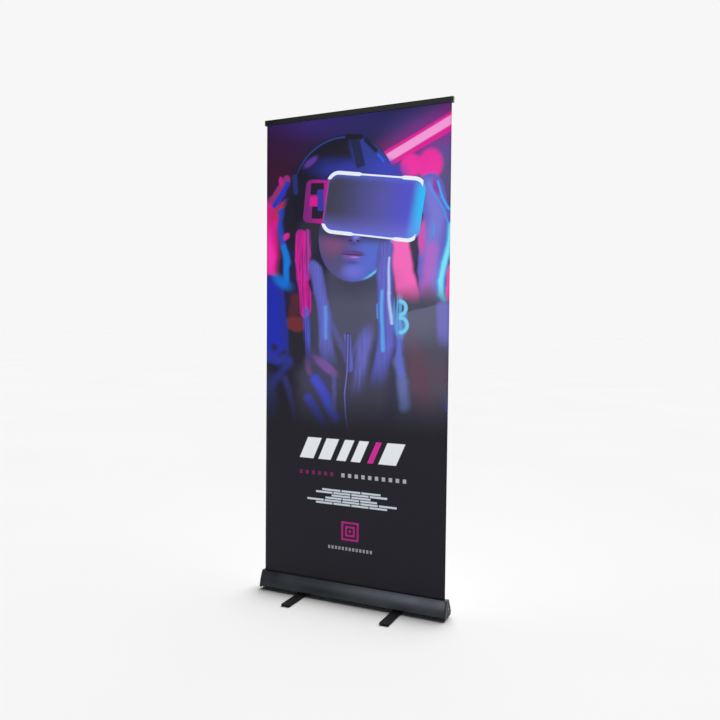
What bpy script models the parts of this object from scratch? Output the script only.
"""Roll-up banner stand: a weighted cassette base with a spring roller, a printed film graphic,
a clamping top rail, a three-section telescopic pole behind the film and two swivelling feet.

Metres, +Z up. X runs along the base (the viewer's right is +X), -Y is the front of the banner.
The origin is on the floor, under the middle of the base, on the line of the feet's pivots."""

from math import atan2, cos, pi, radians, sin, sqrt, tan

import bmesh
import bpy
from mathutils import Matrix, Vector

# ---- fits -------------------------------------------------------------------------------
GAP = 0.0003  # left between pieces that touch
SLIDE_GAP = 0.0003  # round a telescopic tube or a turning shaft

# ---- graphic ----------------------------------------------------------------------------
GRAPHIC_WIDTH = 0.850
FILM_THICKNESS = 0.0003
BANNER_Y = -0.0075  # plane of the film

# ---- base housing -----------------------------------------------------------------------
BASE_HEIGHT = 0.0680
BASE_DEPTH = 0.0756
BASE_WALL = 0.0018
HOUSING_MARGIN = 0.0050  # housing beyond the graphic at each end
FRONT_BULGE = 0.0034
FRONT_LIP = 0.0050  # flat top in front of the slot
SLOT_WIDTH = 0.0062
REAR_SHELF = 0.0125  # flat top behind the slot
REAR_BULGE_RISE = 0.0130  # widest point of the rear above the underside
LOWER_CHAMFER = 0.0045
EDGE_RADIUS = 0.0025

# ---- base end caps ----------------------------------------------------------------------
CAP_THICKNESS = 0.0067
CAP_PROUD = 0.0006
CAP_DROP = 0.0038  # how far a cap reaches below the housing
CAP_EDGE = 0.0014
BOSS_RADIUS = 0.0062
BOSS_LENGTH = 0.0033
SCREW_HEAD_RADIUS = 0.0046
SCREW_HEAD_HEIGHT = 0.0018
SCREW_RADIUS = 0.0016
SCREW_LENGTH = 0.0080

# ---- roller -----------------------------------------------------------------------------
ROLLER_RISE = 0.0300  # axis above the underside of the housing
ROLLER_RADIUS = 0.0100
ROLLER_WALL = 0.0010
LEADER_WRAP = 0.0012  # film left on the roller when the banner is out
AXLE_RADIUS = 0.0030
AXLE_SEAT = 0.0040  # axle inside a cap, beyond its boss
PLUG_LENGTH = 0.0200
SPRING_WIRE_RADIUS = 0.0006
SPRING_LENGTH = 0.2400
SPRING_TURNS = 22
SPRING_POINTS_PER_TURN = 8
ANCHOR_LENGTH = 0.0120

# ---- feet -------------------------------------------------------------------------------
FOOT_LENGTH = 0.3480
FOOT_WIDTH = 0.0420
FOOT_THICKNESS = 0.0060
FOOT_TIP_RADIUS = 0.0080
FOOT_INSET = 0.2050  # pivot to the end of the housing
PAD_THICKNESS = 0.0018
PAD_LENGTH = 0.0300
PAD_INSET = 0.0040  # pad edge to foot edge
PIVOT_RADIUS = 0.0040
PIVOT_HEAD_RADIUS = 0.0090
PIVOT_HEAD_HEIGHT = 0.0024
PIVOT_HEAD_INSET = 0.0005
WASHER_RADIUS = 0.0125
WASHER_THICKNESS = 0.0033
NUT_RADIUS = 0.0068
NUT_HEIGHT = 0.0044

# ---- pole -------------------------------------------------------------------------------
POLE_RADIUS = 0.0070
POLE_WALL = 0.0010
POLE_OVERLAP = 0.0700  # inner tube left in the outer one when fully out
SOCKET_FLOOR = 0.0020
SOCKET_RISE = 0.0440  # top of the socket above the underside of the housing
SOCKET_WALL = 0.0014
SOCKET_WIDTH = 0.0260
COLLAR_HEIGHT = 0.0340
COLLAR_WALL = 0.0034
COLLAR_LIP = 0.0080  # part of a collar above its tube
COLLAR_RIBS = 12
COLLAR_GROOVE = 0.0009
POLE_PLUG_LENGTH = 0.0100
CAM_LENGTH = 0.0240
CAM_STEP = 0.0004

# ---- top rail ---------------------------------------------------------------------------
STAND_HEIGHT = 2.0930
RAIL_HEIGHT = 0.0224
RAIL_SKIN = 0.0012
RAIL_REAR_WALL = 0.0018
RAIL_CHAMBER_TOP = 0.0019  # wall above the front chamber
RAIL_FRONT_CHAMBER = 0.0038
RAIL_LIP_HEIGHT = 0.0056
RAIL_LIP_PROUD = 0.0007
RAIL_CAP_THICKNESS = 0.0067
RAIL_CAP_PROUD = 0.0004
RAIL_SPIGOT = 0.0080  # peg of a cap inside the rail's chamber
CLAMP_THICKNESS = 0.0012
CLAMP_INSET = 0.0020  # strip to the ends of its slot
RAIL_TOP_WALL = 0.0044
HOOK_GROOVE_WIDTH = 0.0048
HOOK_GROOVE_DEPTH = 0.0130
HOOK_WEB = 0.0015

# ---- pole hook --------------------------------------------------------------------------
HOOK_WIDTH = 0.0140
HOOK_PLAY = 0.0003  # each side of the tongue
HOOK_ARM_DROP = 0.0060  # arm's top below the rail
HOOK_ARM_HEIGHT = 0.0100
HOOK_SLEEVE_HEIGHT = 0.0240
HOOK_WALL = 0.0024

# ---- worked out from the sizes above ----------------------------------------------------
FOOT_BOTTOM_Z = PAD_THICKNESS + GAP
FOOT_TOP_Z = FOOT_BOTTOM_Z + FOOT_THICKNESS
BASE_UNDERSIDE_Z = FOOT_TOP_Z + WASHER_THICKNESS + 2 * GAP
BASE_TOP_Z = BASE_UNDERSIDE_Z + BASE_HEIGHT
FLOOR_TOP_Z = BASE_UNDERSIDE_Z + BASE_WALL
SOCKET_TOP_Z = BASE_UNDERSIDE_Z + SOCKET_RISE

HOUSING_LENGTH = GRAPHIC_WIDTH + 2 * HOUSING_MARGIN
FOOT_PIVOT_X = HOUSING_LENGTH / 2 - FOOT_INSET
ROLLER_Z = BASE_UNDERSIDE_Z + ROLLER_RISE
ROLL_RADIUS = ROLLER_RADIUS + GAP + LEADER_WRAP
ROLLER_Y = BANNER_Y + FILM_THICKNESS / 2 + GAP + ROLL_RADIUS
CAP_INNER_X = HOUSING_LENGTH / 2 + GAP
CAP_OUTER_X = CAP_INNER_X + CAP_THICKNESS
BOSS_END_X = CAP_INNER_X - BOSS_LENGTH
ROLLER_HALF = BOSS_END_X - 2 * GAP
AXLE_HALF = CAP_INNER_X + AXLE_SEAT - GAP
ROLLER_BORE = ROLLER_RADIUS - ROLLER_WALL
SHAFT_BORE = AXLE_RADIUS + SLIDE_GAP

RAIL_BOTTOM_Z = STAND_HEIGHT - RAIL_HEIGHT
CLAMP_SLOT_DEPTH = RAIL_HEIGHT - RAIL_TOP_WALL
CLAMP_SLOT_FRONT = BANNER_Y - FILM_THICKNESS / 2 - GAP
CLAMP_FRONT = BANNER_Y + FILM_THICKNESS / 2 + GAP
CLAMP_SLOT_REAR = CLAMP_FRONT + CLAMP_THICKNESS + GAP
HOOK_GROOVE_FRONT = CLAMP_SLOT_REAR + HOOK_WEB
HOOK_GROOVE_REAR = HOOK_GROOVE_FRONT + HOOK_GROOVE_WIDTH
RAIL_FRONT = CLAMP_SLOT_FRONT - 2 * RAIL_SKIN - RAIL_FRONT_CHAMBER
HOOK_TONGUE_FRONT = HOOK_GROOVE_FRONT + HOOK_PLAY
HOOK_TONGUE_REAR = HOOK_GROOVE_REAR - HOOK_PLAY
RAIL_REAR = HOOK_GROOVE_REAR + RAIL_REAR_WALL
FILM_TOP_Z = RAIL_BOTTOM_Z + CLAMP_SLOT_DEPTH - 2 * GAP
FILM_LENGTH = FILM_TOP_Z - ROLLER_Z
FULL_ROLL_RADIUS = sqrt(ROLLER_RADIUS**2 + FILM_THICKNESS * FILM_LENGTH / pi)

SOCKET_RADIUS = POLE_RADIUS + SLIDE_GAP + SOCKET_WALL
POLE_Y = ROLLER_Y + FULL_ROLL_RADIUS + GAP + SOCKET_RADIUS
MIDDLE_RADIUS = POLE_RADIUS - POLE_WALL - SLIDE_GAP
UPPER_RADIUS = MIDDLE_RADIUS - POLE_WALL - SLIDE_GAP
POLE_BOTTOM_Z = FLOOR_TOP_Z + GAP + SOCKET_FLOOR + GAP
POLE_TOP_Z = RAIL_BOTTOM_Z - HOOK_ARM_DROP - HOOK_WALL - GAP
TUBE_LENGTH = (POLE_TOP_Z - POLE_BOTTOM_Z + 2 * POLE_OVERLAP) / 3
LOWER_TOP_Z = POLE_BOTTOM_Z + TUBE_LENGTH
MIDDLE_BOTTOM_Z = LOWER_TOP_Z - POLE_OVERLAP
MIDDLE_TOP_Z = MIDDLE_BOTTOM_Z + TUBE_LENGTH
UPPER_BOTTOM_Z = MIDDLE_TOP_Z - POLE_OVERLAP


# ---- scene and materials ----------------------------------------------------------------
def clear_scene():
    for thing in list(bpy.data.objects):
        bpy.data.objects.remove(thing, do_unlink=True)


def new_collection(name):
    made = bpy.data.collections.new(name)
    bpy.context.scene.collection.children.link(made)
    return made


def new_material(name, colour, roughness, metallic):
    made = bpy.data.materials.new(name)
    made.use_nodes = True
    shader = made.node_tree.nodes["Principled BSDF"]
    shader.inputs["Base Color"].default_value = (*colour, 1)
    shader.inputs["Roughness"].default_value = roughness
    shader.inputs["Metallic"].default_value = metallic
    made.diffuse_color = (*colour, 1)
    return made


ANODISED = ("black_anodised_aluminium", (0.028, 0.030, 0.033), 0.38, 0.85)
PLASTIC = ("black_plastic", (0.022, 0.024, 0.024), 0.5, 0.0)
STEEL_BLACK = ("black_painted_steel", (0.012, 0.012, 0.013), 0.45, 0.1)
ZINC = ("zinc_steel", (0.62, 0.63, 0.64), 0.32, 1.0)
TUBE = ("silver_aluminium", (0.70, 0.71, 0.72), 0.3, 1.0)
RUBBER = ("black_rubber", (0.015, 0.015, 0.015), 0.8, 0.0)
FILM = ("printed_film", (0.035, 0.028, 0.075), 0.42, 0.0)
NYLON = ("white_nylon", (0.80, 0.79, 0.76), 0.5, 0.0)
SPRING_STEEL = ("spring_steel", (0.30, 0.30, 0.31), 0.35, 1.0)


def place(piece, look, smooth=30):
    """Puts a finished mesh object in the parts collection, under its own material."""
    for group in list(piece.users_collection):
        group.objects.unlink(piece)
    parts.objects.link(piece)
    name, colour, roughness, metallic = look
    piece.data.materials.clear()
    piece.data.materials.append(
        new_material(f"{piece.name}_{name}", colour, roughness, metallic)
    )
    if smooth:
        piece.data.shade_smooth()
        piece.data.set_sharp_from_angle(angle=radians(smooth))
    return piece


# ---- outlines ---------------------------------------------------------------------------
def fillet(corners, closed=True, steps=4):
    """A polyline through (a, b, radius) corners, each with an arc of its own radius."""
    path = []
    last = len(corners) - 1
    for i, (a, b, radius) in enumerate(corners):
        here = Vector((a, b))
        if radius == 0 or (not closed and i in (0, last)):
            path.append(here)
            continue
        before = (Vector(corners[i - 1][:2]) - here).normalized()
        after = (Vector(corners[(i + 1) % len(corners)][:2]) - here).normalized()
        half = before.angle(after) / 2
        centre = here + (before + after).normalized() * radius / sin(half)
        start = here + before * radius / tan(half) - centre
        end = here + after * radius / tan(half) - centre
        turn = atan2(start.x * end.y - start.y * end.x, start.dot(end))
        path += [
            centre + Matrix.Rotation(turn * k / steps, 2) @ start
            for k in range(steps + 1)
        ]
    return path


def bulged(start, end, rise, steps=8):
    """Points between start and end, on a circular arc that stands rise off the chord."""
    chord = Vector(end) - Vector(start)
    side = Vector((chord.y, -chord.x)).normalized()
    radius = (chord.length**2 / 4 + rise**2) / (2 * rise)
    centre = Vector(start) + chord / 2 - side * (radius - rise)
    first = Vector(start) - centre
    last = Vector(end) - centre
    turn = atan2(first.x * last.y - first.y * last.x, first.dot(last))
    return [centre + Matrix.Rotation(turn * k / steps, 2) @ first for k in range(1, steps)]


def grown(path, amount):
    """The closed anticlockwise path, moved outwards by amount."""
    out = []
    for i, here in enumerate(path):
        before = (here - path[i - 1]).normalized()
        after = (path[(i + 1) % len(path)] - here).normalized()
        normal = Vector((before.y + after.y, -before.x - after.x))
        normal /= max(1e-9, normal.length)
        spread = max(0.5, normal.dot(Vector((before.y, -before.x))))
        out.append(here + normal * amount / spread)
    return out


def rectangle(a0, b0, a1, b1, radius=0.0):
    return fillet([(a0, b0, radius), (a1, b0, radius), (a1, b1, radius), (a0, b1, radius)])


# ---- solids -----------------------------------------------------------------------------
def mesh_object(name, mesh):
    made = bpy.data.objects.new(name, mesh)
    parts.objects.link(made)
    return made


def from_bmesh(name, shape):
    bmesh.ops.recalc_face_normals(shape, faces=shape.faces)
    mesh = bpy.data.meshes.new(name)
    shape.to_mesh(mesh)
    shape.free()
    return mesh_object(name, mesh)


ALONG_X = Matrix(((0, 0, 1, 0), (1, 0, 0, 0), (0, 1, 0, 0), (0, 0, 0, 1)))


def extruded(name, outlines, low, high, turn=None):
    """Outlines (the first one outside, the others holes), filled and drawn out from low to high.
    With ALONG_X as turn they lie in the (y, z) plane, and otherwise in the (x, y) plane."""
    curve = bpy.data.curves.new(name, "CURVE")
    curve.dimensions = "2D"
    curve.fill_mode = "BOTH"
    curve.extrude = (high - low) / 2
    for outline in outlines:
        spline = curve.splines.new("POLY")
        spline.points.add(len(outline) - 1)
        for point, (a, b) in zip(spline.points, outline):
            point.co = (a, b, 0, 1)
        spline.use_cyclic_u = True
    guide = bpy.data.objects.new(name + "_outline", curve)
    cutters.objects.link(guide)
    bpy.context.view_layer.update()
    mesh = bpy.data.meshes.new_from_object(
        guide.evaluated_get(bpy.context.evaluated_depsgraph_get())
    )
    bpy.data.objects.remove(guide, do_unlink=True)
    shape = bmesh.new()
    shape.from_mesh(mesh)
    bmesh.ops.remove_doubles(shape, verts=shape.verts, dist=1e-6)
    bmesh.ops.translate(shape, verts=shape.verts, vec=(0, 0, (low + high) / 2))
    if turn is not None:
        bmesh.ops.transform(shape, matrix=turn, verts=shape.verts)
    bmesh.ops.recalc_face_normals(shape, faces=shape.faces)
    shape.to_mesh(mesh)
    shape.free()
    mesh.name = name
    mesh.materials.clear()
    return mesh_object(name, mesh)


def block(name, low, high):
    """A box between two corners."""
    shape = bmesh.new()
    bmesh.ops.create_cube(shape, size=1)
    size = Vector(high) - Vector(low)
    middle = (Vector(high) + Vector(low)) / 2
    bmesh.ops.scale(shape, vec=size, verts=shape.verts)
    bmesh.ops.translate(shape, vec=middle, verts=shape.verts)
    return from_bmesh(name, shape)


def turned(name, profile, axis_point, axis="Z", sides=32):
    """A solid of revolution: (radius, height) points from the top down its outer side.
    A profile that starts and ends off the axis is closed into a ring."""
    mesh = bpy.data.meshes.new(name)
    closed = min(radius for radius, _ in profile) > 0
    points = [(radius, 0, height) for radius, height in profile]
    edges = [(i, i + 1) for i in range(len(points) - 1)]
    if closed:
        edges.append((len(points) - 1, 0))
    mesh.from_pydata(points, edges, [])
    made = mesh_object(name, mesh)
    screw = made.modifiers.new("Turn", "SCREW")
    screw.steps = sides
    screw.render_steps = sides
    screw.use_merge_vertices = True
    screw.merge_threshold = 1e-5
    if axis == "X":
        made.matrix_world = Matrix.Translation(axis_point) @ ALONG_X
    else:
        made.matrix_world = Matrix.Translation(axis_point)
    return made


def baked(piece):
    """The piece with its modifiers applied and its transform moved into its mesh."""
    bpy.context.view_layer.update()
    mesh = bpy.data.meshes.new_from_object(
        piece.evaluated_get(bpy.context.evaluated_depsgraph_get())
    )
    mesh.transform(piece.matrix_world)
    shape = bmesh.new()
    shape.from_mesh(mesh)
    bmesh.ops.remove_doubles(shape, verts=shape.verts, dist=1e-6)
    bmesh.ops.recalc_face_normals(shape, faces=shape.faces)
    shape.to_mesh(mesh)
    shape.free()
    name = piece.name
    bpy.data.objects.remove(piece, do_unlink=True)
    mesh.name = name
    return mesh_object(name, mesh)


def ring(name, outer, inner, low, high, axis_point, axis="Z", sides=32):
    profile = [(outer, high), (outer, low), (inner, low), (inner, high)]
    return turned(name, profile, axis_point, axis, sides)


def rod(name, radius, low, high, axis_point, axis="Z", sides=32):
    profile = [(0, high), (radius, high), (radius, low), (0, low)]
    return turned(name, profile, axis_point, axis, sides)


def combine(piece, tool, operation):
    """Boolean of a piece and a tool, which goes to the cutters, hidden."""
    tool = baked(tool) if tool.modifiers else tool
    for group in list(tool.users_collection):
        group.objects.unlink(tool)
    cutters.objects.link(tool)
    tool.hide_render = True
    tool.display_type = "WIRE"
    step = piece.modifiers.new(operation.title(), "BOOLEAN")
    step.operation = operation
    step.solver = "EXACT"
    step.object = tool
    return piece


def cut(piece, tool):
    return combine(piece, tool, "DIFFERENCE")


def join(piece, tool):
    return combine(piece, tool, "UNION")


def soften(piece, width, segments=2, angle=35):
    bevel = piece.modifiers.new("Edges", "BEVEL")
    bevel.width = width
    bevel.segments = segments
    bevel.limit_method = "ANGLE"
    bevel.angle_limit = radians(angle)
    return piece


def centred_on(piece, point):
    """Moves the piece's origin to a joint's axis, and leaves its shape where it is."""
    piece.data.transform(Matrix.Translation(-Vector(point)) @ piece.matrix_world)
    piece.matrix_world = Matrix.Translation(point)
    return piece


# ---- base housing -----------------------------------------------------------------------
def housing_side(drop=0.0):
    """Outside corners (y, z, radius) from the slot's front edge, down the bulged front,
    along the underside and up the slanting rear to the slot's rear edge."""
    front, rear = -BASE_DEPTH / 2, BASE_DEPTH / 2
    slot_front = BANNER_Y - SLOT_WIDTH / 2
    slot_rear = BANNER_Y + SLOT_WIDTH / 2
    top_front = (slot_front - FRONT_LIP, BASE_TOP_Z)
    low_front = (front, BASE_UNDERSIDE_Z + LOWER_CHAMFER - drop)
    curve = bulged(top_front, low_front, FRONT_BULGE)
    return [
        (slot_front, BASE_TOP_Z, 0),
        (*top_front, EDGE_RADIUS),
        *[(y, z, 0) for y, z in curve],
        (*low_front, EDGE_RADIUS),
        (front + LOWER_CHAMFER, BASE_UNDERSIDE_Z - drop, EDGE_RADIUS),
        (rear - LOWER_CHAMFER, BASE_UNDERSIDE_Z - drop, EDGE_RADIUS),
        (rear, BASE_UNDERSIDE_Z + REAR_BULGE_RISE, EDGE_RADIUS),
        (slot_rear + REAR_SHELF, BASE_TOP_Z, EDGE_RADIUS),
        (slot_rear, BASE_TOP_Z, 0),
    ]


def socket_notch(name, clearance, low, high):
    """The outside of the pole socket: a round-nosed block, grown by a clearance."""
    radius = SOCKET_RADIUS + clearance
    half = SOCKET_WIDTH / 2 + clearance
    rear = POLE_Y + radius
    front = POLE_Y - radius
    corner = radius * 0.9
    outline = fillet(
        [
            (-half, front, corner),
            (half, front, corner),
            (half, rear, 0.002),
            (-half, rear, 0.002),
        ]
    )
    return extruded(name, [outline], low, high)


def base_housing():
    path = fillet(housing_side(), closed=False)
    shape = bmesh.new()
    half = HOUSING_LENGTH / 2
    points = [shape.verts.new((-half, y, z)) for y, z in path]
    edges = [shape.edges.new(pair) for pair in zip(points, points[1:])]
    drawn = bmesh.ops.extrude_edge_only(shape, edges=edges)["geom"]
    moved = [v for v in drawn if isinstance(v, bmesh.types.BMVert)]
    bmesh.ops.translate(shape, verts=moved, vec=(HOUSING_LENGTH, 0, 0))
    shape.normal_update()
    middle = Vector((0, 0, (BASE_TOP_Z + BASE_UNDERSIDE_Z) / 2))
    if sum(f.normal.dot(f.calc_center_median() - middle) * f.calc_area() for f in shape.faces) < 0:
        bmesh.ops.reverse_faces(shape, faces=shape.faces)
    mesh = bpy.data.meshes.new("base_housing")
    shape.to_mesh(mesh)
    shape.free()
    housing = mesh_object("base_housing", mesh)
    wall = housing.modifiers.new("Wall", "SOLIDIFY")
    wall.thickness = BASE_WALL
    wall.offset = -1
    wall.use_even_offset = True
    housing = baked(housing)
    cut(housing, socket_notch("socket_notch", GAP, FLOOR_TOP_Z + GAP / 2, BASE_TOP_Z + 0.01))
    for side in (-1, 1):
        hole = rod(
            f"pivot_hole_{side}",
            PIVOT_RADIUS + GAP,
            BASE_UNDERSIDE_Z - BASE_WALL,
            FLOOR_TOP_Z + BASE_WALL,
            (side * FOOT_PIVOT_X, 0, 0),
        )
        cut(housing, hole)
    place(baked(housing), ANODISED)


def base_end_cap(name, side):
    """Plate that closes one end of the housing, with the boss that holds the axle still."""
    corners = housing_side(CAP_DROP)[1:-1]
    outline = grown(fillet(corners), CAP_PROUD)
    plate = extruded(name, [outline], 0, CAP_THICKNESS, ALONG_X)
    soften(plate, CAP_EDGE)
    plate = baked(plate)
    axis = (0, ROLLER_Y, ROLLER_Z)
    join(plate, rod("boss", BOSS_RADIUS, -BOSS_LENGTH, GAP, axis, "X"))
    cut(plate, rod("axle_seat", SHAFT_BORE, -BOSS_LENGTH - GAP, AXLE_SEAT, axis, "X"))
    recess = SCREW_HEAD_RADIUS + GAP
    floor = CAP_THICKNESS - SCREW_HEAD_HEIGHT - GAP
    cut(plate, rod("head_recess", recess, floor, CAP_THICKNESS + GAP, axis, "X"))
    cut(plate, rod("screw_hole", SCREW_RADIUS + GAP, 0, CAP_THICKNESS, axis, "X", 24))
    place(at_end(baked(plate), side, CAP_INNER_X), PLASTIC)


def at_end(piece, side, distance):
    """Moves a piece made round X = 0 for the right-hand end out to it, or its mirror image to
    the left-hand end."""
    if side < 0:
        shape = bmesh.new()
        shape.from_mesh(piece.data)
        bmesh.ops.scale(shape, vec=(-1, 1, 1), verts=shape.verts)
        bmesh.ops.reverse_faces(shape, faces=shape.faces)
        shape.to_mesh(piece.data)
        shape.free()
    piece.location.x = side * distance
    return piece


def axle_screw(name, side):
    """Pan-head screw with a cross recess, through the end cap into the axle."""
    crown = SCREW_HEAD_HEIGHT * 0.45
    profile = [
        (0, SCREW_HEAD_HEIGHT),
        (SCREW_HEAD_RADIUS * 0.55, SCREW_HEAD_HEIGHT - crown * 0.15),
        (SCREW_HEAD_RADIUS * 0.88, SCREW_HEAD_HEIGHT - crown * 0.6),
        (SCREW_HEAD_RADIUS, SCREW_HEAD_HEIGHT - crown * 1.3),
        (SCREW_HEAD_RADIUS, 0),
        (SCREW_RADIUS, 0),
        (SCREW_RADIUS, -SCREW_LENGTH),
        (0, -SCREW_LENGTH),
    ]
    screw = baked(turned(name, profile, (0, ROLLER_Y, ROLLER_Z), "X", 24))
    arm, floor = SCREW_HEAD_RADIUS * 0.55, SCREW_HEAD_HEIGHT * 0.4
    width = SCREW_HEAD_RADIUS * 0.11
    for y, z in ((arm, width), (width, arm)):
        slot = block(
            "cross",
            (floor, ROLLER_Y - y, ROLLER_Z - z),
            (2 * SCREW_HEAD_HEIGHT, ROLLER_Y + y, ROLLER_Z + z),
        )
        cut(screw, slot)
    place(at_end(baked(screw), side, CAP_OUTER_X - SCREW_HEAD_HEIGHT), ZINC)


# ---- roller -----------------------------------------------------------------------------
def roller():
    axis = (0, ROLLER_Y, ROLLER_Z)
    axle = baked(rod("roller_axle", AXLE_RADIUS, -AXLE_HALF, AXLE_HALF, axis, "X", 24))
    for side in (-1, 1):
        depth = SCREW_LENGTH + GAP
        ends = sorted((side * (AXLE_HALF - depth), side * (AXLE_HALF + GAP)))
        cut(axle, rod("tapping", SCREW_RADIUS + GAP, *ends, axis, "X", 24))
    place(baked(axle), ZINC)
    tube = ring("roller_tube", ROLLER_RADIUS, ROLLER_BORE, -ROLLER_HALF, ROLLER_HALF, axis, "X")
    place(tube, TUBE)
    wrap = ring(
        "leader_wrap",
        ROLL_RADIUS,
        ROLLER_RADIUS + GAP,
        -GRAPHIC_WIDTH / 2,
        GRAPHIC_WIDTH / 2,
        axis,
        "X",
        40,
    )
    place(wrap, FILM)
    plug_radius = ROLLER_BORE - GAP
    for name, side in (("spring_plug", -1), ("idler_plug", 1)):
        ends = sorted((side * (ROLLER_HALF - PLUG_LENGTH), side * ROLLER_HALF))
        place(ring(name, plug_radius, SHAFT_BORE, *ends, axis, "X"), NYLON)
    torsion_spring()


def torsion_spring():
    """Coil between the plug that turns with the roller and the anchor fixed to the axle."""
    start = -ROLLER_HALF + PLUG_LENGTH + 2 * GAP + SPRING_WIRE_RADIUS
    radius = (SHAFT_BORE + ROLLER_BORE) / 2
    count = SPRING_TURNS * SPRING_POINTS_PER_TURN
    curve = bpy.data.curves.new("torsion_spring", "CURVE")
    curve.dimensions = "3D"
    curve.bevel_depth = SPRING_WIRE_RADIUS
    curve.bevel_resolution = 2
    curve.use_fill_caps = True
    spline = curve.splines.new("POLY")
    spline.points.add(count)
    for i, point in enumerate(spline.points):
        angle = 2 * pi * i / SPRING_POINTS_PER_TURN
        x = start + SPRING_LENGTH * i / count
        point.co = (x, ROLLER_Y + radius * cos(angle), ROLLER_Z + radius * sin(angle), 1)
    coil = bpy.data.objects.new("torsion_spring", curve)
    parts.objects.link(coil)
    place(baked(coil), SPRING_STEEL)
    low = start + SPRING_LENGTH + 2 * GAP + SPRING_WIRE_RADIUS
    anchor = ring(
        "spring_anchor",
        ROLLER_BORE - 2 * SLIDE_GAP,
        SHAFT_BORE,
        low,
        low + ANCHOR_LENGTH,
        (0, ROLLER_Y, ROLLER_Z),
        "X",
    )
    place(anchor, NYLON)


# ---- feet -------------------------------------------------------------------------------
def foot(word, side):
    x = side * FOOT_PIVOT_X
    pivot = (x, 0, 0)
    half_w, half_l = FOOT_WIDTH / 2, FOOT_LENGTH / 2
    outline = rectangle(x - half_w, -half_l, x + half_w, half_l, FOOT_TIP_RADIUS)
    bar = extruded(f"foot_{word}", [outline], FOOT_BOTTOM_Z, FOOT_TOP_Z)
    soften(bar, 0.0008)
    bar = baked(bar)
    head_top = FOOT_BOTTOM_Z + PIVOT_HEAD_INSET + PIVOT_HEAD_HEIGHT
    recess = PIVOT_HEAD_RADIUS + GAP
    cut(bar, rod("head_recess", recess, FOOT_BOTTOM_Z - GAP, head_top + GAP, pivot))
    hole = PIVOT_RADIUS + SLIDE_GAP
    cut(bar, rod("pivot_hole", hole, FOOT_BOTTOM_Z, FOOT_TOP_Z + GAP, pivot))
    place(centred_on(baked(bar), pivot), STEEL_BLACK)

    for end, place_y in (("front", -1), ("rear", 1)):
        near = half_l - PAD_INSET - PAD_LENGTH
        far = half_l - PAD_INSET
        low, high = sorted((place_y * near, place_y * far))
        inner = half_w - PAD_INSET
        shape = rectangle(x - inner, low, x + inner, high, 0.005)
        pad = extruded(f"foot_{word}_pad_{end}", [shape], 0, PAD_THICKNESS)
        place(centred_on(pad, pivot), RUBBER)

    top = FLOOR_TOP_Z + GAP + NUT_HEIGHT + 0.001
    low = FOOT_BOTTOM_Z + PIVOT_HEAD_INSET
    bolt = turned(
        f"foot_{word}_pivot_bolt",
        [
            (0, top),
            (PIVOT_RADIUS - 0.0006, top),
            (PIVOT_RADIUS, top - 0.0006),
            (PIVOT_RADIUS, low + PIVOT_HEAD_HEIGHT),
            (PIVOT_HEAD_RADIUS, low + PIVOT_HEAD_HEIGHT),
            (PIVOT_HEAD_RADIUS, low + 0.0006),
            (PIVOT_HEAD_RADIUS - 0.0008, low),
            (0, low),
        ],
        pivot,
    )
    place(bolt, ZINC)
    washer = ring(
        f"foot_{word}_washer",
        WASHER_RADIUS,
        PIVOT_RADIUS + GAP,
        FOOT_TOP_Z + GAP,
        BASE_UNDERSIDE_Z - GAP,
        pivot,
    )
    place(washer, NYLON)
    nut = baked(
        rod(
            f"foot_{word}_nut",
            NUT_RADIUS,
            FLOOR_TOP_Z + GAP,
            FLOOR_TOP_Z + GAP + NUT_HEIGHT,
            pivot,
            sides=6,
        )
    )
    cut(nut, rod("thread", PIVOT_RADIUS + GAP, FLOOR_TOP_Z, FLOOR_TOP_Z + 2 * NUT_HEIGHT, pivot))
    place(baked(nut), ZINC)


# ---- pole -------------------------------------------------------------------------------
def pole_socket():
    """Moulding let into the slanting rear of the base, which holds the foot of the pole."""
    body = socket_notch("pole_socket", 0, FLOOR_TOP_Z + GAP, SOCKET_TOP_Z)
    soften(body, 0.0006)
    body = baked(body)
    bore = POLE_RADIUS + SLIDE_GAP
    axis = (0, POLE_Y, 0)
    cut(body, rod("socket_bore", bore, POLE_BOTTOM_Z - GAP, SOCKET_TOP_Z + GAP, axis))
    mouth = [
        (0, SOCKET_TOP_Z + 0.001),
        (bore + 0.0011, SOCKET_TOP_Z + 0.001),
        (bore + 0.0001, SOCKET_TOP_Z - 0.001),
        (0, SOCKET_TOP_Z - 0.001),
    ]
    cut(body, turned("socket_mouth", mouth, axis))
    place(baked(body), PLASTIC)


def lock_collar(name, tube_radius, inner_radius, tube_top):
    """Ribbed twist-lock collar: its skirt turns round the outer tube and its lip round the
    inner one."""
    low = tube_top + COLLAR_LIP - COLLAR_HEIGHT
    high = tube_top + COLLAR_LIP
    outer = tube_radius + SLIDE_GAP + COLLAR_WALL
    skirt = tube_radius + SLIDE_GAP
    neck = inner_radius + SLIDE_GAP
    profile = [
        (outer - 0.0022, high),
        (outer - 0.0008, high - 0.0008),
        (outer, high - 0.0030),
        (outer, low + 0.0020),
        (outer - 0.0012, low),
        (skirt, low),
        (skirt, tube_top + GAP),
        (neck, tube_top + GAP),
        (neck, high),
    ]
    collar = baked(turned(name, profile, (0, POLE_Y, 0), sides=36))
    for i in range(COLLAR_RIBS):
        angle = 2 * pi * (i + 0.5) / COLLAR_RIBS
        at = (outer * cos(angle), POLE_Y + outer * sin(angle), 0)
        cut(collar, rod("grip", COLLAR_GROOVE, low + 0.006, high - 0.006, at, sides=10))
    place(centred_on(baked(collar), (0, POLE_Y, tube_top)), PLASTIC)


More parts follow.
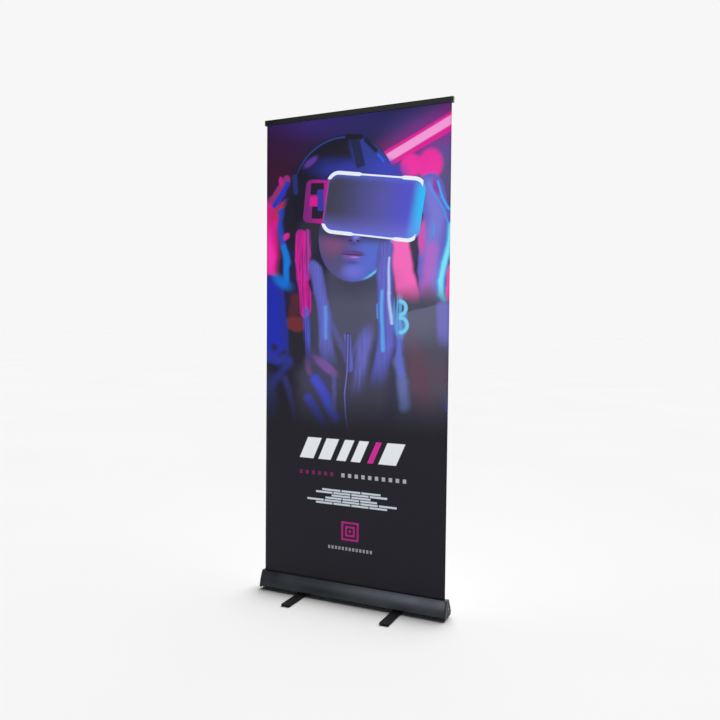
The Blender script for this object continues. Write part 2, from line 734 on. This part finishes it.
def inner_cam(name, tube_radius, tube_bottom, outer_bore):
    """Eccentric plug in the foot of an inner tube, which a twist of the collar jams."""
    neck = tube_radius - POLE_WALL - GAP
    head = outer_bore - CAM_STEP
    profile = [
        (0, tube_bottom + CAM_LENGTH / 2),
        (neck, tube_bottom + CAM_LENGTH / 2),
        (neck, tube_bottom - GAP),
        (head, tube_bottom - GAP),
        (head, tube_bottom - CAM_LENGTH / 2 + 0.0015),
        (head - 0.0012, tube_bottom - CAM_LENGTH / 2),
        (0, tube_bottom - CAM_LENGTH / 2),
    ]
    place(turned(name, profile, (0, POLE_Y, 0), sides=24), NYLON)


def pole():
    axis = (0, POLE_Y, 0)
    tubes = (
        ("pole_lower", POLE_RADIUS, POLE_BOTTOM_Z, LOWER_TOP_Z),
        ("pole_middle", MIDDLE_RADIUS, MIDDLE_BOTTOM_Z, MIDDLE_TOP_Z),
        ("pole_upper", UPPER_RADIUS, UPPER_BOTTOM_Z, POLE_TOP_Z),
    )
    for name, radius, low, high in tubes:
        place(ring(name, radius, radius - POLE_WALL, low, high, axis, sides=28), TUBE)
    lock_collar("lower_lock_collar", POLE_RADIUS, MIDDLE_RADIUS, LOWER_TOP_Z)
    lock_collar("middle_lock_collar", MIDDLE_RADIUS, UPPER_RADIUS, MIDDLE_TOP_Z)
    inner_cam("middle_tube_cam", MIDDLE_RADIUS, MIDDLE_BOTTOM_Z, POLE_RADIUS - POLE_WALL)
    inner_cam("upper_tube_cam", UPPER_RADIUS, UPPER_BOTTOM_Z, MIDDLE_RADIUS - POLE_WALL)
    plug = [
        (0, POLE_BOTTOM_Z + POLE_PLUG_LENGTH),
        (POLE_RADIUS - POLE_WALL - GAP, POLE_BOTTOM_Z + POLE_PLUG_LENGTH),
        (POLE_RADIUS - POLE_WALL - GAP, POLE_BOTTOM_Z),
        (0, POLE_BOTTOM_Z),
    ]
    place(turned("pole_foot_plug", plug, axis, sides=24), PLASTIC)
    pole_hook()


def pole_hook():
    """Cap on the upper tube with an arm that reaches forward and a tongue that the top rail
    hangs on."""
    top = RAIL_BOTTOM_Z - HOOK_ARM_DROP
    bore = UPPER_RADIUS + GAP
    sleeve = [
        (0, top),
        (bore + HOOK_WALL - 0.0010, top),
        (bore + HOOK_WALL, top - 0.0010),
        (bore + HOOK_WALL, top - HOOK_SLEEVE_HEIGHT),
        (0, top - HOOK_SLEEVE_HEIGHT),
    ]
    hook = baked(turned("pole_hook", sleeve, (0, POLE_Y, 0)))
    front = HOOK_TONGUE_FRONT
    rear = HOOK_TONGUE_REAR
    tip = RAIL_BOTTOM_Z + HOOK_GROOVE_DEPTH - GAP
    low = top - HOOK_ARM_HEIGHT
    corners = [
        (front, low + 0.004, 0.002),
        (front, tip, 0.0008),
        (rear, tip, 0.0008),
        (rear, top, 0.001),
        (POLE_Y, top, 0),
        (POLE_Y, low, 0),
        (front + 0.004, low, 0.002),
    ]
    arm = extruded("arm", [fillet(corners)], -HOOK_WIDTH / 2, HOOK_WIDTH / 2, ALONG_X)
    join(hook, arm)
    bore_low = top - HOOK_SLEEVE_HEIGHT - GAP
    cut(hook, rod("tube_bore", bore, bore_low, POLE_TOP_Z + GAP, (0, POLE_Y, 0)))
    place(baked(hook), PLASTIC)


# ---- top rail ---------------------------------------------------------------------------
def rail_outline():
    """Section (y, z) of the rail: a clamp slot for the film and a groove for the pole hook,
    both open below."""
    low, high = RAIL_BOTTOM_Z, STAND_HEIGHT
    lip = RAIL_FRONT - RAIL_LIP_PROUD
    return fillet(
        [
            (lip, low, 0.0006),
            (CLAMP_SLOT_FRONT, low, 0),
            (CLAMP_SLOT_FRONT, low + CLAMP_SLOT_DEPTH, 0),
            (CLAMP_SLOT_REAR, low + CLAMP_SLOT_DEPTH, 0),
            (CLAMP_SLOT_REAR, low, 0),
            (HOOK_GROOVE_FRONT, low, 0),
            (HOOK_GROOVE_FRONT, low + HOOK_GROOVE_DEPTH, 0),
            (HOOK_GROOVE_REAR, low + HOOK_GROOVE_DEPTH, 0),
            (HOOK_GROOVE_REAR, low, 0),
            (RAIL_REAR, low, 0.0006),
            (RAIL_REAR, high, 0.0020),
            (RAIL_FRONT, high, 0.0020),
            (RAIL_FRONT, low + RAIL_LIP_HEIGHT + RAIL_LIP_PROUD, 0),
            (lip, low + RAIL_LIP_HEIGHT, 0.0003),
        ]
    )


def top_rail():
    half = GRAPHIC_WIDTH / 2
    low = RAIL_BOTTOM_Z + RAIL_SKIN
    high = STAND_HEIGHT - RAIL_CHAMBER_TOP
    chamber = rectangle(RAIL_FRONT + RAIL_SKIN, low, CLAMP_SLOT_FRONT - RAIL_SKIN, high)
    rail = extruded("top_rail", [rail_outline(), chamber], -half, half, ALONG_X)
    place(rail, ANODISED)
    slot_top = RAIL_BOTTOM_Z + CLAMP_SLOT_DEPTH
    strip = block(
        "rail_clamp_strip",
        (-half + CLAMP_INSET, CLAMP_FRONT, RAIL_BOTTOM_Z + CLAMP_INSET),
        (half - CLAMP_INSET, CLAMP_FRONT + CLAMP_THICKNESS, slot_top - CLAMP_INSET),
    )
    place(strip, PLASTIC, smooth=0)
    for word, side in (("left", -1), ("right", 1)):
        rail_end_cap(f"rail_end_cap_{word}", side)


def rail_end_cap(name, side):
    proud = RAIL_CAP_PROUD
    front = RAIL_FRONT - RAIL_LIP_PROUD - proud
    outline = rectangle(
        front, RAIL_BOTTOM_Z - proud, RAIL_REAR + proud, STAND_HEIGHT, 0.0022
    )
    cap = extruded(name, [outline], 0, RAIL_CAP_THICKNESS, ALONG_X)
    soften(cap, 0.0016, 3)
    cap = baked(cap)
    spigot = block(
        "spigot",
        (
            -RAIL_SPIGOT,
            RAIL_FRONT + RAIL_SKIN + GAP,
            RAIL_BOTTOM_Z + RAIL_SKIN + GAP,
        ),
        (
            4 * GAP,
            CLAMP_SLOT_FRONT - RAIL_SKIN - GAP,
            STAND_HEIGHT - RAIL_CHAMBER_TOP - GAP,
        ),
    )
    join(cap, spigot)
    place(at_end(baked(cap), side, GRAPHIC_WIDTH / 2 + GAP), PLASTIC)


# ---- graphic ----------------------------------------------------------------------------
def graphic():
    film = block(
        "graphic",
        (-GRAPHIC_WIDTH / 2, BANNER_Y - FILM_THICKNESS / 2, ROLLER_Z),
        (GRAPHIC_WIDTH / 2, BANNER_Y + FILM_THICKNESS / 2, FILM_TOP_Z),
    )
    place(film, FILM, smooth=0)


def build():
    base_housing()
    for word, side in (("left", -1), ("right", 1)):
        base_end_cap(f"base_end_cap_{word}", side)
        axle_screw(f"axle_screw_{word}", side)
        foot(word, side)
    roller()
    pole_socket()
    pole()
    top_rail()
    graphic()


clear_scene()
parts = new_collection("roll_up_banner_stand")
cutters = new_collection("cutters")
build()
